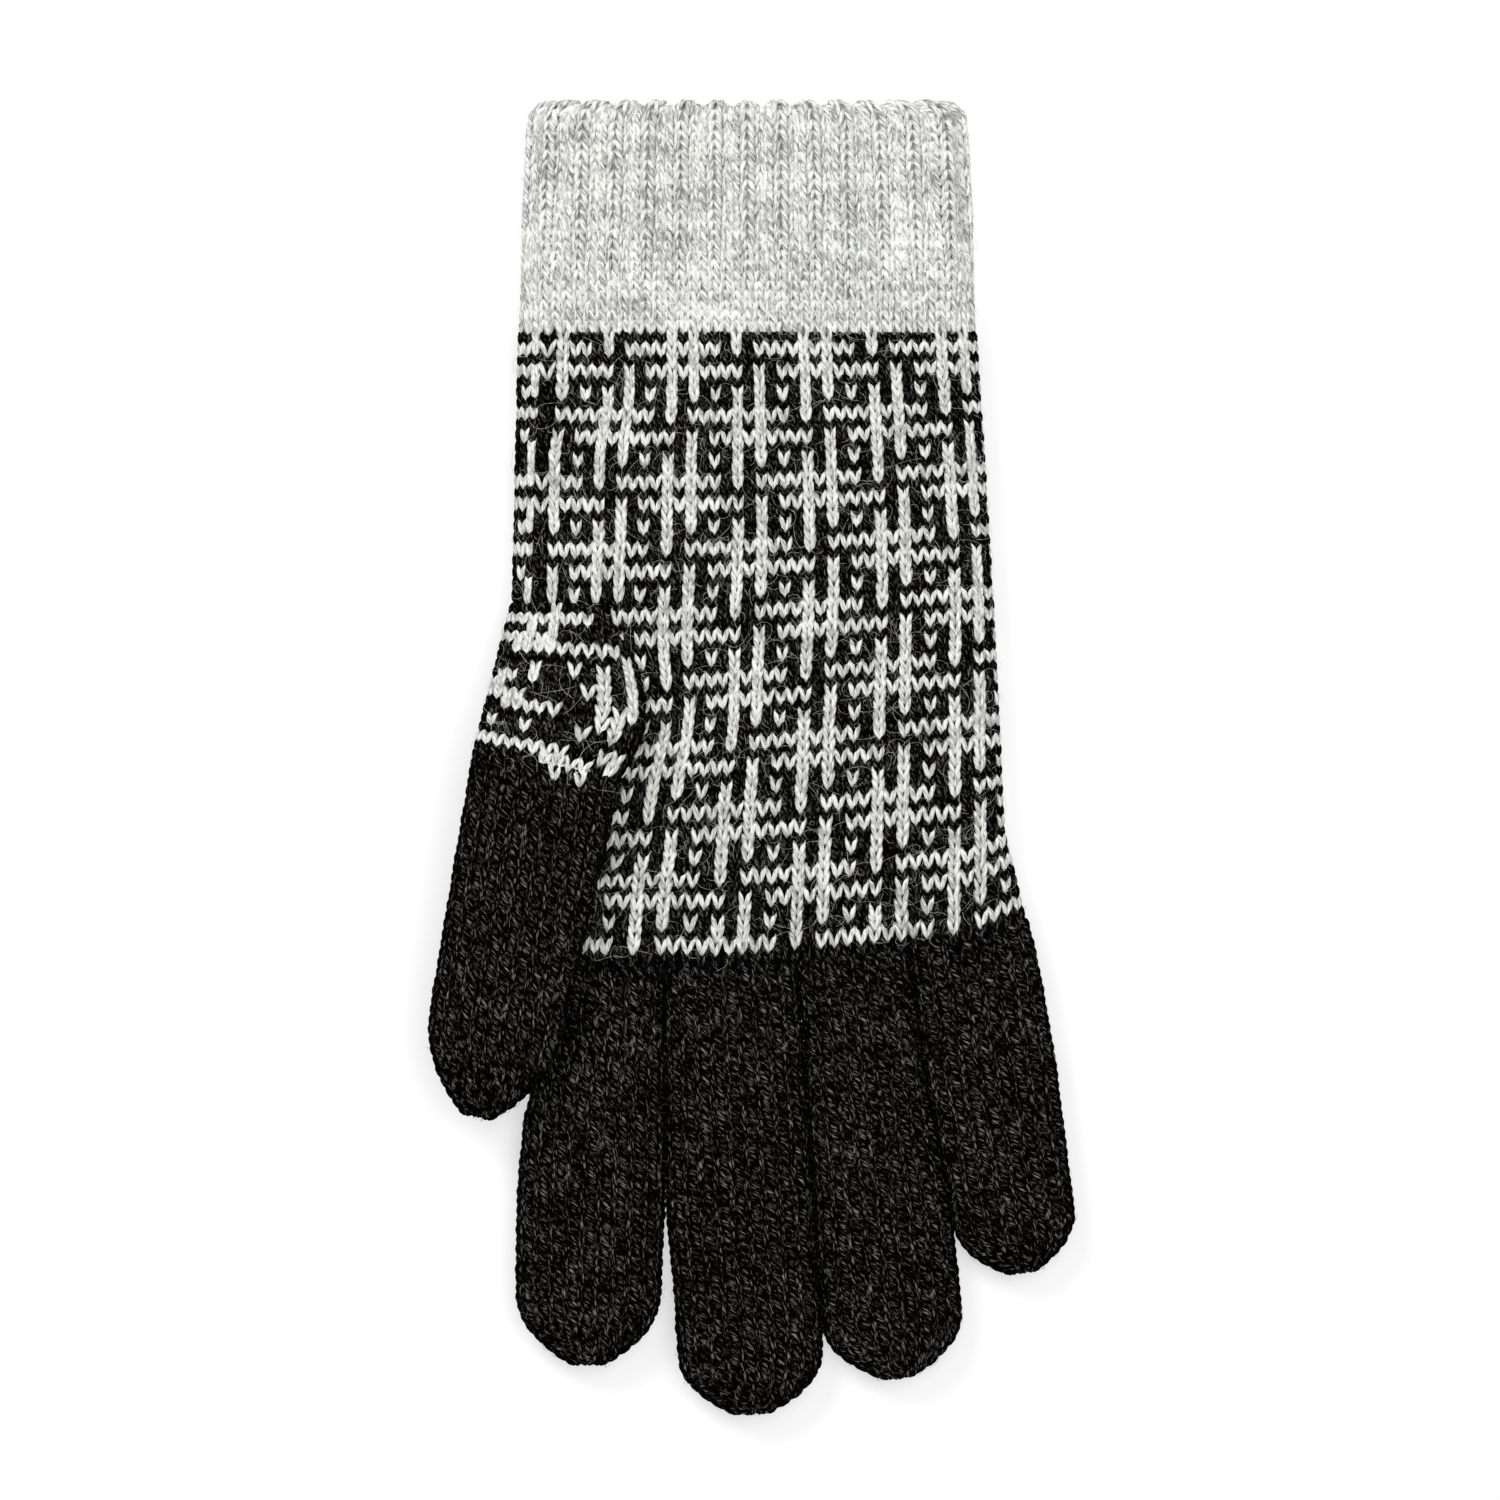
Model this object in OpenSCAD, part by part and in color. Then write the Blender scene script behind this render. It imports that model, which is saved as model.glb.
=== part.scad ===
// A right-hand knitted glove lying flat on its back, palm up: a double cuff, a
// patterned hand with a thumb gusset, four fingers and a thumb. Each finger folds
// at its root and at its middle, and the thumb also swings out from the hand.
// Millimetres. The cuff points to +Y, the fingers to -Y and the palm to +Z. The
// glove rests on z = 0, with its origin under the middle of its outer size.

/* [Knitting] */
// Thickness of one knitted layer
knit = 2; // [1.8:0.1:2.1]
// Clear gap at each fold and between two fingers
clear = 0.4; // [0.3:0.05:0.5]

/* [Cuff] */
// Width of the cuff at its folded edge
cuff_edge_w = 82; // [80:0.5:84]
// Width of the cuff where the hand starts
cuff_w = 86.5; // [85:0.5:88]
// Length of the cuff
cuff_len = 43.5; // [36:0.5:50]
// Thickness of the cuff lying flat
cuff_t = 13; // [12.8:0.1:14]
// Thickness of the turned-in layer
lining = 1.7; // [1.4:0.1:1.8]
// Thickness of an elastic thread
elastic_t = 0.5; // [0.4:0.05:0.6]
// Number of elastic threads between the two layers
elastic_count = 6; // [3:1:9]
// Distance from one elastic thread to the next
elastic_pitch = 3.5; // [3:0.25:3.5]

/* [Hand] */
// Thickness of the hand lying flat
hand_t = 11.5; // [11:0.25:12]
// Length of the patterned hand, cuff to the middle of the finger roots
hand_len = 117; // [114:0.5:118]
// Width of the hand above the thumb
hand_w = 91.8; // [90:0.2:93]
// Slant of the line where the fingers start, in degrees
root_slant = 4.5; // [3:0.5:6]

/* [Fingers] */
// Thickness of a finger lying flat
finger_t = 11; // [10.5:0.25:11.5]
// Middle of each finger's root: index, middle, ring, little
root_x = [-30, -4.2, 20.3, 42.65]; // [-35:0.05:45]
// Lean of each finger to the little finger's side, in degrees
lean = [-1, 2.6, 5.6, 8.4]; // [-3:0.05:10]
// Width of each finger at its root
root_w = [24.6, 25, 21.2, 22.2]; // [20:0.1:26]
// Width of each finger before its tip
tip_w = [27.4, 27.2, 24.6, 23]; // [22:0.1:29]
// Length of each finger
finger_len = [77.5, 87.6, 83.5, 65.5]; // [60:0.1:90]
// Distance from each finger's root to its middle fold
mid_fold = [43, 47, 45, 36]; // [34:0.5:50]
// Distance from a finger's root to its root fold
root_fold = 8; // [7:0.25:9]
// How far the index finger's root stands back from the thumb
index_hollow = 10.6; // [10.2:0.1:11]

/* [Thumb] */
// Thickness of the thumb lying flat
thumb_t = 10.8; // [10.6:0.1:11]
// Width of the thumb at its root
thumb_w = 28.6; // [28:0.1:29]
// Width of the thumb before its tip
thumb_tip_w = 25.2; // [24:0.1:25.5]
// Length of the thumb from the end of its gusset
thumb_len = 68.5; // [66:0.5:70]
// Turn of the thumb away from the fingers, in degrees
thumb_turn = 11.8; // [11:0.1:12.5]
// Drop of the thumb to its tip, in degrees
thumb_drop = 3.75; // [3:0.25:4]
// Droop of the thumb's outer edge, in degrees
thumb_roll = 8; // [6:0.5:8.5]
// Distance from the thumb's root to its root fold
thumb_fold = 15; // [14:0.5:16]
// Distance from the thumb's root to its middle fold
thumb_mid = 38; // [36:0.5:40]

/* [Hidden] */
$fn = 24;
INDEX = 0;
MIDDLE = 1;
RING = 2;
LITTLE = 3;
grey_yarn = [0.74, 0.74, 0.73];
mixed_yarn = [0.45, 0.45, 0.44];
black_yarn = [0.09, 0.085, 0.08];
far = 300;

cuff_top_y = 124.6;
wrist_y = cuff_top_y - cuff_len;
fold_y = cuff_top_y - knit;
root_y = wrist_y - hand_len;
root_mid_x = root_x[MIDDLE] + root_w[MIDDLE] / 2;

// How far a form runs on past the plane that cuts it off
overlap = 6;

// The cuff's middle, and the gap on each side of an elastic thread
cuff_x = -0.7;
elastic_clear = 0.05;
lining_in = knit + elastic_t + 2 * elastic_clear;
cuff_hollow = lining_in + lining;

// The middle of the wrist and of the hand, and the hand's outline from the wrist to the fingers:
// distance along Y, thumb side, little finger's side
wrist_x = -0.8;
hand_x = 0.4;
hand_outline = [
    [wrist_y + overlap, wrist_x - cuff_w / 2, wrist_x + cuff_w / 2],
    [25, hand_x - hand_w / 2, hand_x + hand_w / 2],
    [3, -36, 47.4],
    [-14, -36, 48.2],
    [root_y - overlap, -33.2, 55]
];

// How far a finger's knuckle is from its root, counted in root folds; how far before the tip
// its rounding starts; how far along it has its full width, as a share of its length; and the
// share of its width left at the end
knuckle_folds = 2.6;
knuckle_at = knuckle_folds * root_fold;
tip_round = 13;
full_width_at = 0.7;
tip_end = 2 / 3;

// The gusset leaves the palm between two places across the hand, this far along it
gusset_start = [-0.5 - hand_w / 2, -24];
gusset_y = 29;

// The middle of the thumb's root, and how far the rounding starts before the thumb's tip
thumb_at = [-38.6, -1.2, 16.7];
thumb_tip_round = 16.25;

// A ball that is exactly 2 * r high and wide in spite of its flats
module ball(r) {
    sphere(r / cos(180 / $fn));
}

// The two balls at the edges of a flat tube with round sides, t thick and lying on z = 0
module edges(x_from, x_to, t, inset) {
    for (x = [x_from + t / 2, x_to - t / 2]) translate([x, 0, t / 2]) ball(t / 2 - inset);
}

// Everything on the +Y side of a plane through the origin, or on the -Y side
module beyond_plus() {
    translate([-far / 2, 0, -far / 2]) cube(far);
}
module beyond_minus() {
    translate([-far / 2, -far, -far / 2]) cube(far);
}

// ---- Cuff ----
module cuff_form(inset) {
    hull() {
        translate([cuff_x, cuff_top_y + overlap, 0]) edges(-cuff_edge_w / 2, cuff_edge_w / 2, cuff_t, inset);
        translate([cuff_x, wrist_y - overlap, 0]) edges(-cuff_w / 2, cuff_w / 2, cuff_t, inset);
    }
}

module cuff_layer(outer, inner, y_from, y_to) {
    intersection() {
        difference() {
            cuff_form(outer);
            cuff_form(inner);
        }
        translate([-far / 2, y_from, -far / 2]) cube([far, y_to - y_from, far]);
    }
}

module cuff_outer() {
    color(grey_yarn) {
        cuff_layer(0, knit, wrist_y, fold_y);
        cuff_layer(0, cuff_hollow, fold_y, cuff_top_y);
    }
}

module cuff_lining() {
    color(grey_yarn) cuff_layer(lining_in, cuff_hollow, wrist_y, fold_y);
}

module cuff_elastic() {
    color("white") for (i = [1:elastic_count])
        cuff_layer(knit + elastic_clear, knit + elastic_clear + elastic_t,
            fold_y - i * elastic_pitch, fold_y - i * elastic_pitch + 2 * elastic_t);
}

// ---- Hand and gusset ----
module hand_form(inset) {
    for (i = [0:len(hand_outline) - 2]) hull() for (s = [hand_outline[i], hand_outline[i + 1]])
        translate([0, s[0], 0]) edges(s[1], s[2], hand_t, inset);
}

module at_finger_line() {
    translate([root_mid_x, root_y, 0]) rotate(root_slant) children();
}

module gusset_form(inset) {
    hull() {
        translate([0, gusset_y, 0]) edges(gusset_start[0], gusset_start[1], hand_t, inset);
        at_thumb() thumb_edges(thumb_w, inset);
    }
}

module hand() {
    color(mixed_yarn) difference() {
        hand_form(0);
        hand_form(knit);
        gusset_hollow();
        translate([0, wrist_y, 0]) beyond_plus();
        at_finger_line() beyond_minus();
    }
}

module gusset_hollow() {
    difference() {
        gusset_form(knit);
        at_thumb() beyond_minus();
    }
}

module thumb_gusset() {
    color(mixed_yarn) difference() {
        gusset_form(0);
        gusset_form(knit);
        hand_form(0);
        at_thumb() beyond_minus();
    }
}

// ---- Thumb: its own frame runs along -Y from the middle of its root ----
module at_thumb() {
    translate(thumb_at) rotate([0, 0, -thumb_turn]) rotate([thumb_drop, -thumb_roll, 0]) children();
}

module thumb_edges(w, inset) {
    translate([0, 0, -thumb_t / 2]) edges(-w / 2, w / 2, thumb_t, inset);
}

module thumb_form(inset) {
    hull() {
        thumb_edges(thumb_w, inset);
        translate([0, thumb_tip_round - thumb_len, 0]) thumb_edges(thumb_tip_w, inset);
        translate([0, thumb_t / 2 - thumb_len, 0]) thumb_edges(thumb_tip_w * tip_end, inset);
    }
}

module thumb_piece(from, to) {
    at_thumb() color(black_yarn) intersection() {
        difference() {
            thumb_form(0);
            thumb_form(knit);
        }
        translate([-far / 2, -to, -far / 2]) cube([far, to - from, far]);
    }
}

module thumb_root() {
    thumb_piece(clear, thumb_fold - clear / 2);
}

module thumb_lower() {
    thumb_piece(thumb_fold + clear / 2, thumb_mid - clear / 2);
}

module thumb_tip() {
    thumb_piece(thumb_mid + clear / 2, thumb_len + overlap);
}

// ---- Fingers: each one's own frame runs along -Y from the middle of its root ----
function hollow(f) = f == INDEX ? index_hollow : 0;
function finger_root_y(f) = root_y + (root_x[f] - root_mid_x) * tan(root_slant);

module at_finger(f) {
    translate([root_x[f], finger_root_y(f), 0]) rotate(lean[f]) children();
}

// The stretch of a finger before its knuckle, where the index finger stands back
module knuckle(f, inset) {
    translate([0, -knuckle_at, 0])
        edges(hollow(f) / 2 - root_w[f] / 2, root_w[f] / 2, finger_t, inset);
}

module finger_form(f, inset) {
    hull() {
        translate([0, overlap, 0]) edges(hollow(f) - root_w[f] / 2, root_w[f] / 2, finger_t, inset);
        knuckle(f, inset);
    }
    hull() {
        knuckle(f, inset);
        for (y = [full_width_at, 1]) translate([0, tip_round - y * finger_len[f], 0])
            edges(-tip_w[f] / 2, tip_w[f] / 2, finger_t, inset);
        translate([0, finger_t / 2 - finger_len[f], 0])
            edges(-tip_w[f] * tip_end / 2, tip_w[f] * tip_end / 2, finger_t, inset);
    }
}

module finger_shell(f) {
    difference() {
        finger_form(f, 0);
        finger_form(f, knit);
    }
}

module finger_root(f) {
    color(black_yarn) difference() {
        at_finger(f) finger_shell(f);
        at_finger(f) translate([0, clear / 2 - root_fold, 0]) beyond_minus();
        at_finger_line() beyond_plus();
    }
}

module finger_piece(f, from, to) {
    at_finger(f) color(black_yarn) intersection() {
        finger_shell(f);
        translate([-far / 2, -to, -far / 2]) cube([far, to - from, far]);
    }
}

module finger_lower(f) {
    finger_piece(f, root_fold + clear / 2, mid_fold[f] - clear / 2);
}

module finger_tip(f) {
    finger_piece(f, mid_fold[f] + clear / 2, finger_len[f] + overlap);
}

module index_root() finger_root(INDEX);
module index_lower() finger_lower(INDEX);
module index_tip() finger_tip(INDEX);
module middle_root() finger_root(MIDDLE);
module middle_lower() finger_lower(MIDDLE);
module middle_tip() finger_tip(MIDDLE);
module ring_root() finger_root(RING);
module ring_lower() finger_lower(RING);
module ring_tip() finger_tip(RING);
module little_root() finger_root(LITTLE);
module little_lower() finger_lower(LITTLE);
module little_tip() finger_tip(LITTLE);

cuff_outer();
cuff_lining();
cuff_elastic();
hand();
thumb_gusset();
thumb_root();
thumb_lower();
thumb_tip();
index_root();
index_lower();
index_tip();
middle_root();
middle_lower();
middle_tip();
ring_root();
ring_lower();
ring_tip();
little_root();
little_lower();
little_tip();
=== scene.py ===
import math

import bpy
import numpy as np
from mathutils import Matrix, Vector


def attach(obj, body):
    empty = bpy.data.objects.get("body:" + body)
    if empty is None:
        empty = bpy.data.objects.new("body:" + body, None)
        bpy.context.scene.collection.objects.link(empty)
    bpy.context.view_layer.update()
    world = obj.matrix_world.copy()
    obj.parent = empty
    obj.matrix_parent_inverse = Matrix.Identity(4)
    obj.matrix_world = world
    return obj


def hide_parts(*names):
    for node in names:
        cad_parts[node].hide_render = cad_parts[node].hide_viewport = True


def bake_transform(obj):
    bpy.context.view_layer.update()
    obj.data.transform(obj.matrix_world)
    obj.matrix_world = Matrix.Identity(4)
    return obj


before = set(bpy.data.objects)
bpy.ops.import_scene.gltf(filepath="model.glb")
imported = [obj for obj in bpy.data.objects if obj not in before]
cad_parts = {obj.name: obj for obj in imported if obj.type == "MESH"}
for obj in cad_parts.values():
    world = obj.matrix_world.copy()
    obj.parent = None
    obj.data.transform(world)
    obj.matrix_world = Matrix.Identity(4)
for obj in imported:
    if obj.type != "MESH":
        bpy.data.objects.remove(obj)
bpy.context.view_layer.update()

# A right-hand knitted glove, palm up. Lengths are millimetres until a mesh is made, in the CAD's own frame: the
# cuff points to +Y, the fingers to -Y, the palm to +Z. Every surface is knitted from single stitches, and a
# stitch is two legs of yarn. A place on a surface is a column (c) and a row (r, or q on the hand). Columns are
# counted towards the little finger and rows towards the fingertips, and a stitch's point faces that way.
MM = 0.001
SEED = 20
random = np.random.default_rng(SEED)

# ---- The glove's sizes, as in the CAD ----
CUFF_TOP_Y = 124.6
WRIST_Y = 81.1
CUFF_X = -0.7
CUFF_EDGE_W = 82.0
CUFF_W = 86.5
CUFF_T = 13.0
CUFF_WALL = 4.3
HAND_T = 11.5
# The line where the fingers start
ROOT_Y = -35.9
ROOT_MID_X = 8.3
ROOT_SLANT = math.tan(math.radians(4.5))
# The hand's outline: its thumb edge and its other edge at distances along Y
HAND_Y = (-46.0, -41.9, -14.0, 3.0, 25.0, 87.1, 90.0)
HAND_LEFT = (-36.2, -36.4, -37.0, -37.0, -45.5, -44.05, -44.0)
HAND_RIGHT = (56.0, 55.0, 48.2, 47.4, 46.3, 42.45, 42.3)
FINGER_T = 11.0
# Each finger: middle of its root, length, middle fold, lean, tip rounding, columns, and its edges:
# distances along it with its thumb side and its other side there
FINGERS = {
    "index": (
        -30.0, 76.8, 43.0, -1.0, 14.3, 21,
        (-6, 0, 12, 22, 30, 44, 58, 78),
        (-6.0, -6.3, -7.6, -10.0, -12.2, -13.3, -13.2, -13.0),
        (12.3, 12.8, 13.1, 13.5, 13.7, 14.0, 13.5, 13.3)),
    "middle": (
        -4.2, 88.4, 47.0, 2.6, 11.8, 21,
        (-6, 0, 9, 20, 38, 50, 62, 74, 88),
        (-11.8, -11.8, -12.2, -12.8, -13.4, -13.7, -13.0, -12.7, -12.6),
        (12.0, 12.0, 12.5, 12.9, 13.5, 13.7, 13.85, 13.9, 13.5)),
    "ring": (
        20.3, 83.5, 45.0, 5.6, 11.8, 20,
        (-6, 0, 15, 30, 45, 53, 67, 75, 84),
        (-11.4, -11.4, -11.4, -11.8, -12.35, -12.75, -13.4, -13.5, -12.7),
        (9.4, 9.4, 9.4, 10.2, 11.5, 12.2, 12.4, 12.3, 12.0)),
    "little": (
        42.65, 65.5, 36.0, 8.4, 11.0, 18,
        (-8, 0, 5, 15, 28, 40, 54, 66),
        (-12.0, -12.1, -12.3, -12.7, -12.6, -12.2, -11.7, -11.5),
        (9.2, 9.8, 10.3, 10.8, 11.1, 10.7, 10.5, 10.4)),
}
ROOT_FOLD = 8.0
# How far before its middle fold a digit's knitting divides into two pieces: fingers, then thumb
FOLD_REACH = 8.0
THUMB_REACH = 5.0
THUMB_AT = (-38.6, -1.2, 16.7)
THUMB_T = 10.8
THUMB_W = 28.6
THUMB_TIP_W = 25.2
THUMB_LEN = 68.5
THUMB_TAPER = 16.25
THUMB_END_CUT = 0.6
THUMB_TURN = 11.8
THUMB_DROP = 3.75
THUMB_ROLL = 8.0
THUMB_FOLD = 15.0
THUMB_MID = 38.0
THUMB_TIP_ROUND = 19.0
THUMB_COLUMNS = 20
GUSSET_X = (-45.7, -24.0)
GUSSET_Y = 29.0

# ---- The knitting ----
# Columns round the hand, the edge where they start, at the thumb's side of the palm, and the first of them
COLUMNS = 84
LEFT_SEAM = -22.5
SEAM = -22
FIRST_ROW = -13
LAST_ROW = 43
# Heights of a row in the hand, the fingers and the cuff, and widths of a column
ROW = 2.065
FINGER_ROW = 1.83
CUFF_ROW = 1.91
HAND_COLUMN = 2.15
CUFF_COLUMN = 2.0
GUSSET_STITCH = (2.0, 1.9)
FINGER_COLUMN = 3.2
# Where column 0 and row 0 of the pattern cross
MOTIF_X = 1.5
MOTIF_Y = 52.5
# How far the stitches' middle surface lies inside the CAD's, above and below, and at the edges
INSET = 0.7
SIDE_INSET = 0.35
# Radius of the yarn, how flat it is, and how much thicker it is in the cuff and the gusset
LEG_RADIUS = 0.515
FINGER_LEG_RADIUS = 0.74
# Sides of a leg's section where it is seen most, and elsewhere
FINE, COARSE = 6, 5
LEG_FLAT = 0.85
CUFF_YARN = 1.15
GUSSET_YARN = 1.08
HANGING_WIDTH = 1.3
# How uneven the stitches are: columns, rows, millimetres up, share of the radius
UNEVEN = (0.03, 0.035, 0.05, 0.05)
# A hair: points along it, sides, radius, curl, wander, height at its ends, and its share of a half turn
HAIR_RINGS = 8
HAIR_SIDES = 3
HAIR_RADIUS = 0.028
HAIR_CURL = 0.4
HAIR_WANDER = 0.16
HAIR_FOOT = 0.2
HAIR_ARC = 0.85
# The backing's depth under the stitches, in the cuff too, and its thickness
BACKING_DEPTH = 0.45
CUFF_BACKING_DEPTH = 0.35
BACKING_T = 0.5
# A right leg from its point to its top:
# columns out, rows towards the fingers, millimetres up, share of the radius
LEG = np.array([
    (0.03, 0.86, -0.50, 0.40),
    (0.10, 0.58, -0.04, 0.86),
    (0.18, 0.22, 0.24, 1.00),
    (0.27, -0.16, 0.28, 1.02),
    (0.37, -0.52, 0.08, 0.92),
    (0.46, -0.86, -0.38, 0.50),
])


def part(value, first, last):
    """How far a value has come from first to last: 0 at first, 1 at last."""
    return (value - first) / (last - first)


def smooth(t):
    t = np.clip(t, 0.0, 1.0)
    return t * t * (3 - 2 * t)


def unit(vectors):
    return vectors / np.maximum(np.linalg.norm(vectors, axis=-1, keepdims=True), 1e-9)


# ---- Cross-sections ----
# Points round a section, and round a quarter of its rounding
SHARES = 241
CORNER_POINTS = 40
# A lookup stops this far inside a table's last row and column
JUST_INSIDE = 0.001


def outline(left, right, half_t, mid_z, rounding):
    """A closed flat section: x and z at equal steps from its left side over the top, and its girth."""
    angle = np.linspace(0, math.pi / 2, CORNER_POINTS)
    reach = min(rounding, (right - left) / 2)
    arc_x, arc_z = reach * (1 - np.cos(angle)), half_t * np.sin(angle)
    x = np.concatenate([left + arc_x, (right - arc_x)[::-1]])
    z = np.concatenate([arc_z, arc_z[::-1]])
    x = np.concatenate([x, x[::-1][1:]])
    z = np.concatenate([z, -z[::-1][1:]])
    length = np.concatenate([[0], np.cumsum(np.hypot(np.diff(x), np.diff(z)))])
    share = np.linspace(0, length[-1], SHARES)
    return np.interp(share, length, x), mid_z + np.interp(share, length, z), length[-1]


def lookup(table, rows, columns):
    """Bilinear lookup in a table of numbers or points."""
    rows = np.clip(rows, 0, table.shape[0] - 1 - JUST_INSIDE)
    columns = np.clip(columns, 0, table.shape[1] - 1 - JUST_INSIDE)
    i, j = rows.astype(int), columns.astype(int)
    u, v = rows - i, columns - j
    if table.ndim == 3:
        u, v = u[..., None], v[..., None]
    return (table[i, j] * (1 - u) * (1 - v) + table[i + 1, j] * u * (1 - v)
            + table[i, j + 1] * (1 - u) * v + table[i + 1, j + 1] * u * v)


class Form:
    """Sections at even stations along a line."""

    def __init__(self, start, end, count, section):
        self.start, self.end, self.count = start, end, count
        made = [section(v) for v in np.linspace(start, end, count)]
        self.x, self.z, self.girths = (np.array(values) for values in zip(*made))

    def station(self, along):
        return part(np.asarray(along, float), self.start, self.end) * (self.count - 1)

    def girth(self, along):
        return np.interp(self.station(along), np.arange(self.count), self.girths)

    def at(self, along, share):
        i, j = self.station(along), np.asarray(share) * (SHARES - 1)
        return lookup(self.x, i, j), lookup(self.z, i, j)


class Tube:
    """A knitted surface as a grid of points over columns and rows."""
    STEP = 0.5

    def __init__(self, c0, c1, r0, r1, point, closed=False):
        self.c0, self.r0, self.closed = c0, r0, closed
        self.width = c1 - c0
        nc, nr = int(round((c1 - c0) / self.STEP)) + 1, int(math.ceil((r1 - r0) / self.STEP)) + 1
        cc, rr = np.meshgrid(c0 + np.arange(nc) * self.STEP, r0 + np.arange(nr) * self.STEP)
        self.points = point(cc, rr)
        across = np.gradient(self.points, axis=1)
        if closed:
            across[:, 0] = across[:, -1] = self.points[:, 1] - self.points[:, -2]
        along = np.gradient(self.points, axis=0)
        self.normals = unit(np.cross(along, across))

    def at(self, c, r):
        c, r = np.asarray(c, float), np.asarray(r, float)
        if self.closed:
            c = self.c0 + np.mod(c - self.c0, self.width)
        i, j = (r - self.r0) / self.STEP, (c - self.c0) / self.STEP
        return lookup(self.points, i, j), unit(lookup(self.normals, i, j))


# ---- The hand ----
def hand_sides(y):
    return np.interp(y, HAND_Y, HAND_LEFT), np.interp(y, HAND_Y, HAND_RIGHT)


HAND_ROUNDING = 8.0
HAND_SPAN = (-48.0, 90.0)
HAND_SECTIONS = 277


def hand_section(y):
    left, right = hand_sides(y)
    half = HAND_T / 2 - INSET
    return outline(left + SIDE_INSET, right - SIDE_INSET, half, HAND_T / 2, HAND_ROUNDING)


hand_form = Form(*HAND_SPAN, HAND_SECTIONS, hand_section)

# How the hand's rows lie: each change comes in from its first row to its last, or from one x to another
SLOPE, SLOPE_ROWS = 0.08, (-14, 20)
BEND, BEND_ROWS, BEND_X = 0.0015, (-14, -5), (-45, 25)
BEND_LOSS, BEND_LOSS_ROWS = 0.0007, (6, 21)
ROW_GROWTH, GROWTH_ROW = 0.0028, 20
WRIST_RISE, WRIST_RISE_ROWS = 0.35, (-6, -14)
EDGE_RISE, EDGE_RISE_X, EDGE_RISE_ROWS = 4.6, (39.2, 56.2), (22, 38)
THUMB_EDGE_RISE, THUMB_EDGE_X, THUMB_EDGE_ROWS = 0.07, -3, (33, 39)


def row_y(q, x):
    """Where a hand row lies: rows rise to the little finger's side, more so near the fingers."""
    edge = smooth(part(x, *EDGE_RISE_X)) * smooth(part(q, *EDGE_RISE_ROWS))
    thumb_edge = np.clip(THUMB_EDGE_X - x, 0, None) * smooth(part(q, *THUMB_EDGE_ROWS))
    x = x - MOTIF_X
    slope = SLOPE * np.clip(part(q, *SLOPE_ROWS), 0, 1)
    bend = (BEND - BEND_LOSS * smooth(part(q, *BEND_LOSS_ROWS))) * np.clip(part(q, *BEND_ROWS), 0, 1)
    near = np.clip(x, *BEND_X)
    return (MOTIF_Y - ROW * q - ROW_GROWTH * np.clip(q - GROWTH_ROW, 0, None) ** 2
            + WRIST_RISE * smooth(part(q, *WRIST_RISE_ROWS))
            + slope * x + bend * (near ** 2 / 2 + near * (x - near)) + EDGE_RISE * edge
            + THUMB_EDGE_RISE * thumb_edge)


# How the hand's columns lie: column 0 wanders a little, and columns grow wider towards the fingers
ZERO_Y = (-45, 32, 42, 58, 84)
ZERO_X = (-2.1, 1.9, 2.1, 1.9, 1.3)
PITCH, PITCH_GROWTH = 2.14, 0.0064


def column_zero(y):
    return np.interp(y, ZERO_Y, ZERO_X)


def column_pitch(q):
    return PITCH + PITCH_GROWTH * (q - FIRST_ROW + 1)


# So many columns on each side of column 0 keep their width, and those beyond stretch to fit the girth. From the
# gusset's row on they keep the stretch they have there, and the thumb's edge cuts them off
FREE_COLUMNS = 10
GUSSET_ROW = 11.0


def hand_arc(c, q, y):
    """Distance round the hand from its thumb edge, over the palm, to a column."""
    left = hand_sides(y)[0] + SIDE_INSET
    wide = 60
    edge_arc = outline(0, wide, HAND_T / 2 - INSET, 0, HAND_ROUNDING)[2] / 2 - wide
    to_zero = column_zero(y) - left + edge_arc / 2
    pitch = column_pitch(q)
    held = np.minimum(q, GUSSET_ROW)
    y_held = MOTIF_Y - ROW * held
    held_left = hand_sides(y_held)[0] + SIDE_INSET
    held_zero = column_zero(y_held) - held_left + edge_arc / 2
    held_pitch = column_pitch(held)
    stretch_left = (held_zero - FREE_COLUMNS * held_pitch) / ((-LEFT_SEAM - FREE_COLUMNS) * held_pitch)
    right_columns = COLUMNS + LEFT_SEAM - FREE_COLUMNS
    stretch_right = ((hand_form.girth(y_held) - held_zero - FREE_COLUMNS * held_pitch)
                     / (right_columns * held_pitch))
    beyond_left = np.clip(-c - FREE_COLUMNS, 0, None)
    beyond_right = np.clip(c - FREE_COLUMNS, 0, None)
    inner = np.clip(c, -FREE_COLUMNS, FREE_COLUMNS)
    return to_zero + pitch * (inner - beyond_left * stretch_left + beyond_right * stretch_right)


# Columns of the palm, for the first guess of a stitch's place, and rounds that settle it
PALM_HALF = 18
ROUNDS = 3
# Sideways shifts of the palm's stitches, which fade towards its edge and its underside:
# the gusset pulls them to the little finger, they draw in at the wrist, and they spread beside the thumb
FADE_Z, FADE_X = 3, 9
PULL, PULL_X, PULL_Y, PULL_REACH = 3.1, (3.6, -26.4), 8.0, 11.5
DRAW, DRAW_X, DRAW_Y = 0.05, 28, (56, 70)
SPREAD, SPREAD_X, SPREAD_Y = 1.0, (-6, -26), (-16, -24)
# The grooves between the fingers' roots run into the hand
JUNCTIONS = (-16.6, 8.8, 31.0)
GROOVE_HALF, GROOVE_DEPTH, GROOVE_LENGTH = 10, 0.85, 13


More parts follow.
